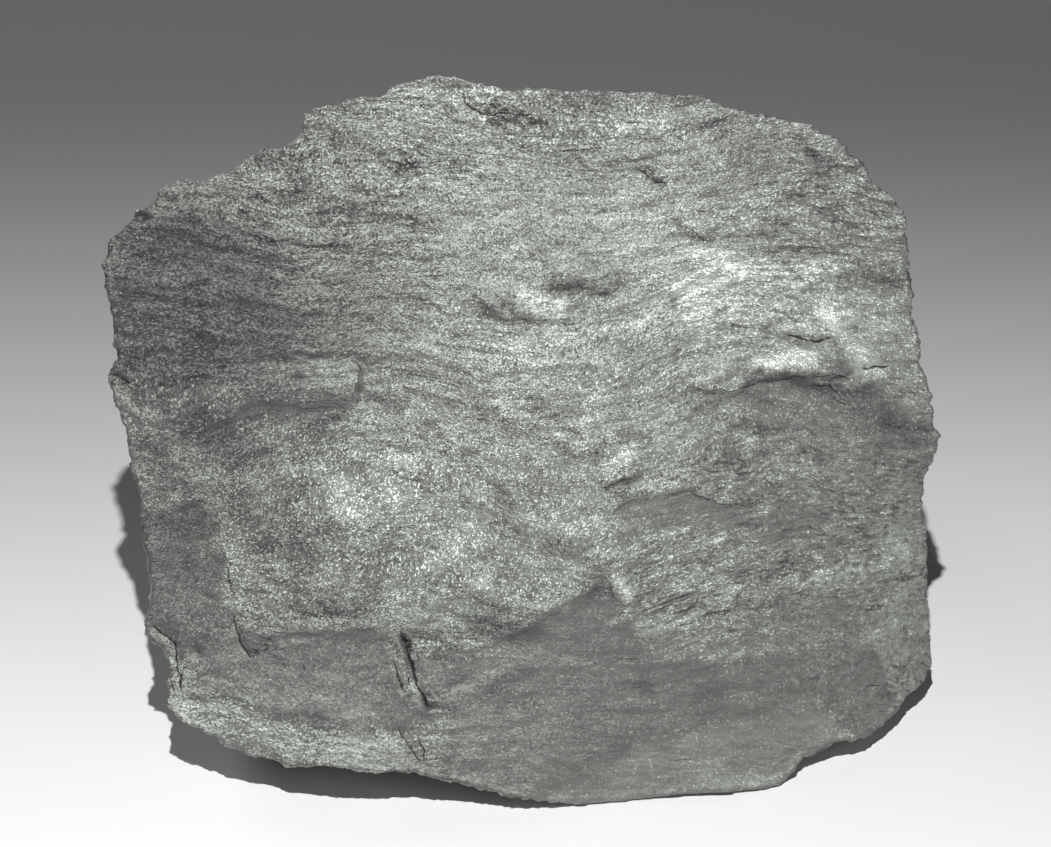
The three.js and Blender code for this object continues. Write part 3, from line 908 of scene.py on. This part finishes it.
def sheet_edges(w, given, where, height, layered):
    """The lower edges of the thick and of the thin sheets."""
    across, _, out = w.separate(where)
    wide = w.combine(across / 13, height / 9, out / 9)
    narrow = w.combine(across / 6, height / 3.5, out / 3.5)
    thick = saw(w, height, wide, given["Sheet spacing"], given["Sheet rise"], given["Seed"] + 1)
    thin = saw(w, height, narrow, given["Leaf spacing"], given["Leaf rise"], given["Seed"] + 2)
    return thick * (0.4 + 0.6 * layered) + thin * (0.3 + 0.8 * layered) - 0.2


# %% Flakes and crumbs
def leaves(w, where, rise, tilt):
    """Voronoi cells, each with a height and a tilt of its own."""
    cell = w.add("ShaderNodeTexVoronoi", None, {"Vector": where, "Scale": 1.0, "Randomness": 1.0})
    lean = w.vector("SUBTRACT", cell["Color"], (0.5, 0.5, 0.5))
    red = w.separate(cell["Color"])[0]
    from_middle = w.vector("SUBTRACT", where, cell["Position"])
    return rise * (red - 0.5) + tilt * w.dot(from_middle, lean)


def flakes_and_crumbs(w, given, where, height):
    """Flakes that stand proud or lie low, and the crumbs between them."""
    across, _, out = w.separate(where)
    uneven_height = height + 0.5 * w.noise(w.scale(where, 0.9), given["Seed"] + 3, detail=3.0)
    uneven_across = across + 1.6 * w.noise(w.scale(where, 0.6), given["Seed"] + 4, detail=3.0)
    width = given["Flake width"]
    cells = w.combine(uneven_across / given["Flake length"], uneven_height / width, out / width)
    flakes = leaves(w, cells, given["Flake rise"], 0.9 * given["Flake rise"])
    size = given["Crumb size"]
    spots = w.combine(across / (1.4 * size), uneven_height / size, out / size)
    crumbs = given["Crumb rise"] * w.noise(spots, given["Seed"] + 9, detail=2.0, roughness=0.6)
    return flakes, crumbs


# %% [markdown]
# The other parts of the block differ. On its sides the sheets are cut square on, and the same saw
# tooth runs with depth instead of height. Round the rim, where the face ends in a ragged edge, the
# stone has crumbled into teeth. And the whole of it is a little lumpy, since no break is truly flat.

# %% Lumps, cut sheets and the rim
def lumps_on(w, given, where):
    across, up, out = w.separate(where)
    size = given["Lump size"]
    spots = w.combine(across / (1.6 * size), up / size, out / size)
    return given["Lump rise"] * w.noise(spots, given["Seed"] + 5, detail=3.0, roughness=0.55)


def cut_sheets(w, given, where):
    """Sheets seen from their ends, on the sides of the block."""
    across, up, out = w.separate(where)
    depth = out + 0.12 * up + 1.4 * w.noise(w.scale(where, 0.08), given["Seed"] + 6, detail=3.0)
    spots = w.combine(across / 9, up / 9, depth / 3)
    thick = saw(w, depth, spots, given["Cut spacing"], given["Cut rise"], given["Seed"] + 7)
    thin = saw(w, depth, spots, 0.35 * given["Cut spacing"], 0.5 * given["Cut rise"], given["Seed"] + 8)
    return thick + thin - 0.2


def rim_teeth(w, given, where):
    spots = w.scale(where, 1 / given["Rim size"])
    return given["Rim rise"] * w.noise(spots, given["Seed"] + 10, detail=4.0, roughness=0.7)


# %% The foliation tree
def build_foliation():
    """The tree that foliates a block lying on the bench."""
    tree = bpy.data.node_groups.new("foliation", "GeometryNodeTree")
    tree.interface.new_socket("Geometry", in_out="INPUT", socket_type="NodeSocketGeometry")
    tree.interface.new_socket("Geometry", in_out="OUTPUT", socket_type="NodeSocketGeometry")
    tree.interface.new_socket("Stone", in_out="INPUT", socket_type="NodeSocketMaterial")
    for name in FOLIATION_INPUTS:
        tree.interface.new_socket(name, in_out="INPUT", socket_type="NodeSocketFloat")
    w = Wiring(tree)
    given = w.add("NodeGroupInput")
    where = w.add("GeometryNodeInputPosition")["Position"]
    across, up, out = w.separate(where)
    names = ("facing", "calm", "free", "bend", "layered")
    facing, calm, free, bend, layered = (named(w, name) for name in names)
    height = up - bend + 1.4 * w.noise(w.combine(across / 16, up / 7, out / 7), given["Seed"])
    blurred = w.add(
        "GeometryNodeBlurAttribute", {"data_type": "FLOAT"}, {"Value": facing, "Iterations": 16}
    )[0]
    inner = w.step(blurred, 0.5, 0.98)

    edges = sheet_edges(w, given, where, height, layered) * (1 - 0.6 * calm) * (0.4 + 0.6 * inner)
    flakes, crumbs = flakes_and_crumbs(w, given, where, height)
    small = (flakes * (0.3 + 0.8 * layered) + crumbs * (1.3 - 0.6 * layered)) * (1 - 0.8 * calm)
    lumps = lumps_on(w, given, where) * (0.15 + 0.85 * inner)
    front = edges + small + lumps * (1 - 0.5 * calm)
    side = cut_sheets(w, given, where) * (0.3 + 0.7 * w.step(blurred, 0.5, 0.1)) + flakes + lumps
    rim = rim_teeth(w, given, where) * (1 - inner) * (1 - 0.7 * calm)
    rise = (facing * front + (1 - facing) * side + rim) * free

    outward = w.scale(w.add("GeometryNodeInputNormal")["Normal"], rise)
    moved = w.add("GeometryNodeSetPosition", None, {"Geometry": given["Geometry"], "Offset": outward})
    whole = w.add("GeometryNodeRealizeInstances", None, {"Geometry": moved["Geometry"]})
    sockets = {"Geometry": whole["Geometry"], "Material": given["Stone"]}
    stone = w.add("GeometryNodeSetMaterial", None, sockets)
    w.add("NodeGroupOutput", None, {"Geometry": stone["Geometry"]})
    return tree


# %% [markdown]
# ## Graphite
#
# To the eye graphite is a soft, dark metal. A cleaved flake of it is a small dull mirror, so its
# glitter is thousands of flakes that lean different ways, each caught or missed by the light. A noise
# in the colour alone would stay put when the light moves. Here each Voronoi cell leans the surface
# normal its own way, and the same cell also makes its flake's grey lighter or darker, which is
# painted glint on top of the real one. There are three kinds of them: round single flakes an eighth
# of a millimetre across, which show in granular stone, longer ones of the same width, which show in
# layered stone, and bundles of flakes three times as wide. Calm stone gets the same flakes lying
# almost flat.

# %% Flakes
FLAKES = [
    # width in mm, how many times longer it is, then how far it leans and how much its grey varies,
    # as painted glint: in granular stone, and in layered stone
    (0.125, 1.2, (0.94, 0.50), (0.48, 0.28)),
    (0.12, 1.9, (0.26, 0.14), (0.98, 0.50)),
    (0.42, 3.0, (0.22, 0.22), (0.22, 0.22)),
]
SPARK = 0.7  # how much lighter the few flakes in calm stone are that catch the light


def stored(w, name):
    """A number stored on the points of the mesh, for a shader."""
    return w.add("ShaderNodeAttribute", {"attribute_name": name})["Fac"]


def stretched(w, spot, length, width):
    """Coordinates in which one unit is a patch of that length and width."""
    across, height, out = spot
    return w.combine(across / length, height / width, out / width)


def between(granular, in_layers, layered):
    """A value for granular stone, blended into one for layered stone."""
    return granular + (in_layers - granular) * layered


def flakes_on(w, spot, calm, layered, facing):
    """How much lighter the flakes make the stone, as painted glint, and how far they lean its normal."""
    lighter = 0.0
    lean = (0.0, 0.0, 0.0)
    plain = 1 - 0.65 * calm
    cells = []
    for width, longer, granular, in_layers in FLAKES:
        place_in_cells = stretched(w, spot, width * longer, width)
        cell = w.add("ShaderNodeTexVoronoi", None, {"Vector": place_in_cells, "Scale": 1.0})["Color"]
        cells.append(cell)
        about_zero = w.vector("SUBTRACT", cell, (0.5, 0.5, 0.5))
        amount = between(granular[0], in_layers[0], layered) * plain
        lean = w.vector("ADD", lean, w.scale(about_zero, amount))
        vary = between(granular[1], in_layers[1], layered) * plain * (1.5 - 0.5 * facing)
        lighter = lighter + vary * (w.separate(cell)[0] - 0.5)
    sparks = SPARK * calm * w.step(w.separate(cells[0])[2], 0.96, 1.0)
    return lighter + sparks, lean


# %% [markdown]
# Flakes grow in bundles, and bundles in sheets, so neighbouring flakes lean alike and gleam together.
# Stretched noise at several sizes gives that: each streak leans the stone a little up or down, and
# makes its colour a little lighter, which is painted sheen. In layered stone the streaks are long and
# thin, in granular stone they are short and round. Here and there a single sheet ends, and shows as
# a thin line: a dark one is painted shade and a bright one painted highlight, in the colour.

# %% Streaks and thin lines
STREAKS = [
    # length and width in mm, then how much lighter it is, as painted sheen, and how far it leans: in
    # granular stone, and in layered stone
    (2.6, 0.35, (0.35, 0.10), (1.10, 0.26)),
    (9.0, 1.3, (0.45, 0.12), (0.85, 0.22)),
    (18.0, 0.45, (0.0, 0.0), (1.60, 0.40)),
    (1.3, 0.9, (0.75, 0.28), (0.0, 0.0)),
    (3.4, 2.4, (0.95, 0.34), (0.15, 0.10)),
    (7.5, 4.5, (1.10, 0.30), (0.25, 0.10)),
]
LINES = [
    # length and spacing in mm, how thin, how much lighter (painted highlight) or darker (painted shade)
    (9.0, 1.1, 0.045, -0.40),
    (16.0, 2.4, 0.035, -0.42),
    (12.0, 1.3, 0.04, 0.45),
]


def streaks_on(w, spot, calm, layered):
    """How much lighter streaks make the stone as painted sheen, how far they lean it, and the finest of
    them.
    """
    streaks = []
    lighter = 0.0
    lean = 0.0
    for seed, (length, width, granular, in_layers) in enumerate(STREAKS, start=1):
        streak = w.noise(stretched(w, spot, length, width), seed, detail=2.0, roughness=0.6)
        streaks.append(streak)
        streak = streak * (1 - 0.6 * calm)
        lighter = lighter + between(granular[0], in_layers[0], layered) * streak
        lean = lean + between(granular[1], in_layers[1], layered) * streak
    return lighter, lean, streaks[0]


def lines_on(w, spot, calm, layered):
    """How much lighter or darker the thin lines make the stone: painted highlight and painted shade."""
    lighter = 0.0
    for number, (length, width, thin, change) in enumerate(LINES):
        seed = 7 + 2 * number
        streak = w.noise(stretched(w, spot, length, width), seed, detail=2.0, roughness=0.6)
        patch = w.noise(stretched(w, spot, length, 3 * width), seed + 1, detail=0.0)
        line = 1 - w.step(w.math("ABSOLUTE", streak), 0.0, thin)
        lighter = lighter + change * line * w.step(patch, -0.03, 0.12)
    return lighter * (1 - 0.6 * calm) * (0.45 + 0.55 * layered)


# %% [markdown]
# The finish reads object coordinates, turned back into the bench's millimetres, so the same numbers
# mean the same places as in the tables above. The colour is nearly neutral, a shade green, and the
# shader is part metal: wholly metallic graphite turned black wherever it had nothing to reflect, and
# none at all looked like clay.

# %% The graphite material
GREY = 0.325
TINT = (0.970, 1.015, 0.945)
METAL = 0.62
SMEAR = 0.52  # roughness of a flake


def object_place(w):
    """Object coordinates, turned into the bench's millimetres."""
    sockets = {
        "Vector": w.add("ShaderNodeTexCoord")["Object"],
        "Location": foot,
        "Rotation": (math.radians(90) - LEAN, 0, 0),
        "Scale": (MM, MM, MM),
    }
    return w.add("ShaderNodeMapping", {"vector_type": "TEXTURE"}, sockets)["Vector"]


def build_graphite():
    material = bpy.data.materials.new("graphite")
    material.use_nodes = True
    material.node_tree.nodes.clear()
    w = Wiring(material.node_tree)
    across, up, out = w.separate(object_place(w))
    names = ("calm", "layered", "facing", "bend")
    calm, layered, facing, bend = (stored(w, name) for name in names)
    spot = (across, up - bend, out)

    lighter, lean_up, finest = streaks_on(w, spot, calm, layered)
    flake_lighter, flake_lean = flakes_on(w, spot, calm, layered, facing)
    tone = 1.0 + lighter + lines_on(w, spot, calm, layered) + flake_lighter
    leaning = w.add("ShaderNodeNewGeometry")["Normal"]
    leaning = w.vector("ADD", leaning, w.combine(0.0, lean_up, 0.0))
    leaning = w.vector("NORMALIZE", w.vector("ADD", leaning, flake_lean))

    # The hairlines darken the colour: painted shade in the cracks and at the foot of the ledges.
    off_the_line = w.math("ABSOLUTE", stored(w, "hairline") + 2.0 * finest)
    crack = stored(w, "dark") * (1 - w.step(off_the_line, 0.4, 1.4))
    tone = GREY * stored(w, "tone") * w.math("MAXIMUM", tone, 0.32) * (1 - 0.85 * crack)
    sockets = {
        "Base Color": w.combine(TINT[0] * tone, TINT[1] * tone, TINT[2] * tone),
        "Metallic": METAL,
        "Roughness": SMEAR + 0.05 * calm,
        "Normal": leaning,
    }
    shader = w.add("ShaderNodeBsdfPrincipled", None, sockets)
    w.add("ShaderNodeOutputMaterial", None, {"Surface": shader["BSDF"]})
    return material


graphite = build_graphite()
print("graphite: nodes", len(graphite.node_tree.nodes))

# %% [markdown]
# ## From the bench to the table
#
# The remesh gave far more squares than a model should carry, and the foliation needed them all. Once
# it has run, most can go: where the surface is nearly flat, neighbours merge without a trace. The
# broad face is thinned more gently than the rest, since that is where the detail is. Then the inverse
# matrix stands the block up. It is the mesh that moves, so the object stays at the origin, unturned.

# %% Foliate
def foliate(thing):
    """Give an object the foliation modifier, with every input set."""
    modifier = thing.modifiers.new("foliation", "NODES")
    modifier.node_group = build_foliation()
    for socket in modifier.node_group.interface.items_tree:
        if socket.name in FOLIATION_INPUTS and socket.in_out == "INPUT":
            modifier[socket.identifier] = FOLIATION_INPUTS[socket.name]
        if socket.name == "Stone":
            modifier[socket.identifier] = graphite


foliated = applied(rough, "foliated_block", foliate)
print("foliated block:", len(foliated.vertices), "points")

# %% Thin out
TRIANGLE_BUDGET = 195_000
FRONT_WEIGHT = 0.5  # how readily points on the broad face may merge, next to 1 elsewhere
WEIGHT_COUNTS = 0.05  # how much that weighs against the shape of the surface


def thin_out(thing):
    """Give an object a modifier that merges points until the triangles are within the budget."""
    front = np.empty(len(thing.data.vertices), np.float32)
    thing.data.attributes["front"].data.foreach_get("value", front)
    group = thing.vertex_groups.new(name="may merge")
    group.add(np.nonzero(front < 0.5)[0].tolist(), 1.0, "REPLACE")
    group.add(np.nonzero(front >= 0.5)[0].tolist(), FRONT_WEIGHT, "REPLACE")
    modifier = thing.modifiers.new("thin out", "DECIMATE")
    modifier.vertex_group = group.name
    modifier.vertex_group_factor = WEIGHT_COUNTS
    modifier.ratio = min(1.0, TRIANGLE_BUDGET / triangles_in(thing.data))


def triangles_in(mesh):
    """How many triangles a mesh comes to."""
    return sum(len(polygon.vertices) - 2 for polygon in mesh.polygons)


stone = applied(foliated, "graphite_specimen", thin_out)
print("finished mesh:", len(stone.vertices), "points,", triangles_in(stone), "triangles")

# %% Stand it up
stone.transform(bench_to_world)
stone.update()
stone.polygons.foreach_set("use_smooth", np.ones(len(stone.polygons), bool))
specimen = bpy.data.objects.new("graphite_specimen", stone)
bpy.context.scene.collection.objects.link(specimen)
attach(specimen, "root")
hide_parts("graphite_block")

# %% [markdown]
# ## The studio
#
# The stone stands on a plain sheet of paper whose colour is pale in front and greyer towards the
# back: painted shade, for a sheet that runs away from the light. A curved backdrop would do the same,
# but it would have to be moved for every view; shade painted into the paper works from all round.

# %% Paper
PAPER_REACH = 3.0  # from the middle to each edge, metres
PALE = 0.9
PAINTED_SHADE = 0.12
PALE_AT = -0.08  # metres along Y
DIM_AT = 0.11


def build_paper():
    material = bpy.data.materials.new("paper")
    material.use_nodes = True
    material.node_tree.nodes.clear()
    w = Wiring(material.node_tree)
    _, along, _ = w.separate(w.add("ShaderNodeTexCoord")["Object"])
    # Painted shade: the paper's colour greys from the front towards the back.
    shade = PALE + (PAINTED_SHADE - PALE) * w.step(along, PALE_AT, DIM_AT)
    sockets = {"Base Color": w.combine(shade, shade, shade), "Roughness": 0.8}
    sheet = w.add("ShaderNodeBsdfPrincipled", None, sockets)
    w.add("ShaderNodeOutputMaterial", None, {"Surface": sheet["BSDF"]})
    return material


corners = [(-PAPER_REACH, -PAPER_REACH, 0), (PAPER_REACH, -PAPER_REACH, 0),
           (PAPER_REACH, PAPER_REACH, 0), (-PAPER_REACH, PAPER_REACH, 0)]
paper_mesh = bpy.data.meshes.new("paper")
paper_mesh.from_pydata(corners, [], [(0, 1, 2, 3)])
paper_mesh.materials.append(build_paper())
paper = bpy.data.objects.new("paper", paper_mesh)
bpy.context.scene.collection.objects.link(paper)

# %% [markdown]
# One small lamp, high in front and close by, gives the crisp shadow and makes the flakes sparkle. A
# large lamp would be kinder to the shadow, but it lights every flake from all sides at once, and the
# glitter goes. A broad soft lamp to the right fills the shadow a little and catches the flakes that
# lean its way. A low one behind and to the left keeps the back of the block readable, and a dim sky
# lifts what is left.

# %% Lamps
LAMPS = [
    # name, azimuth and elevation in degrees, distance and size in metres, watts
    ("key", -5, 75, 0.5, 0.012, 2.85),
    ("right", 55, 42, 0.9, 0.5, 0.42),
    ("behind", 225, 25, 0.9, 0.5, 1.8),
]


def lamp(name, azimuth, elevation, distance, size, watts):
    """A round lamp that looks at the middle of the block; azimuth 0 is in front, 90 to the right."""
    azimuth, elevation = math.radians(azimuth), math.radians(elevation)
    level = math.cos(elevation)
    way = Vector((level * math.sin(azimuth), -level * math.cos(azimuth), math.sin(elevation)))
    data = bpy.data.lights.new(name, "AREA")
    data.shape = "DISK"
    data.size = size
    data.energy = watts
    thing = bpy.data.objects.new(name, data)
    bpy.context.scene.collection.objects.link(thing)
    thing.location = place(0, 30) + way * distance
    thing.rotation_euler = way.to_track_quat("Z", "Y").to_euler()


for row in LAMPS:
    lamp(*row)
print("lamps:", [row[0] for row in LAMPS])

# %% Sky
SKY_GREY = 0.5
SKY_STRENGTH = 0.05

world = bpy.data.worlds.new("world")
bpy.context.scene.world = world
world.use_nodes = True
background = world.node_tree.nodes["Background"]
background.inputs["Color"].default_value = (SKY_GREY, SKY_GREY, SKY_GREY, 1)
background.inputs["Strength"].default_value = SKY_STRENGTH
bpy.context.scene.view_settings.view_transform = "Standard"
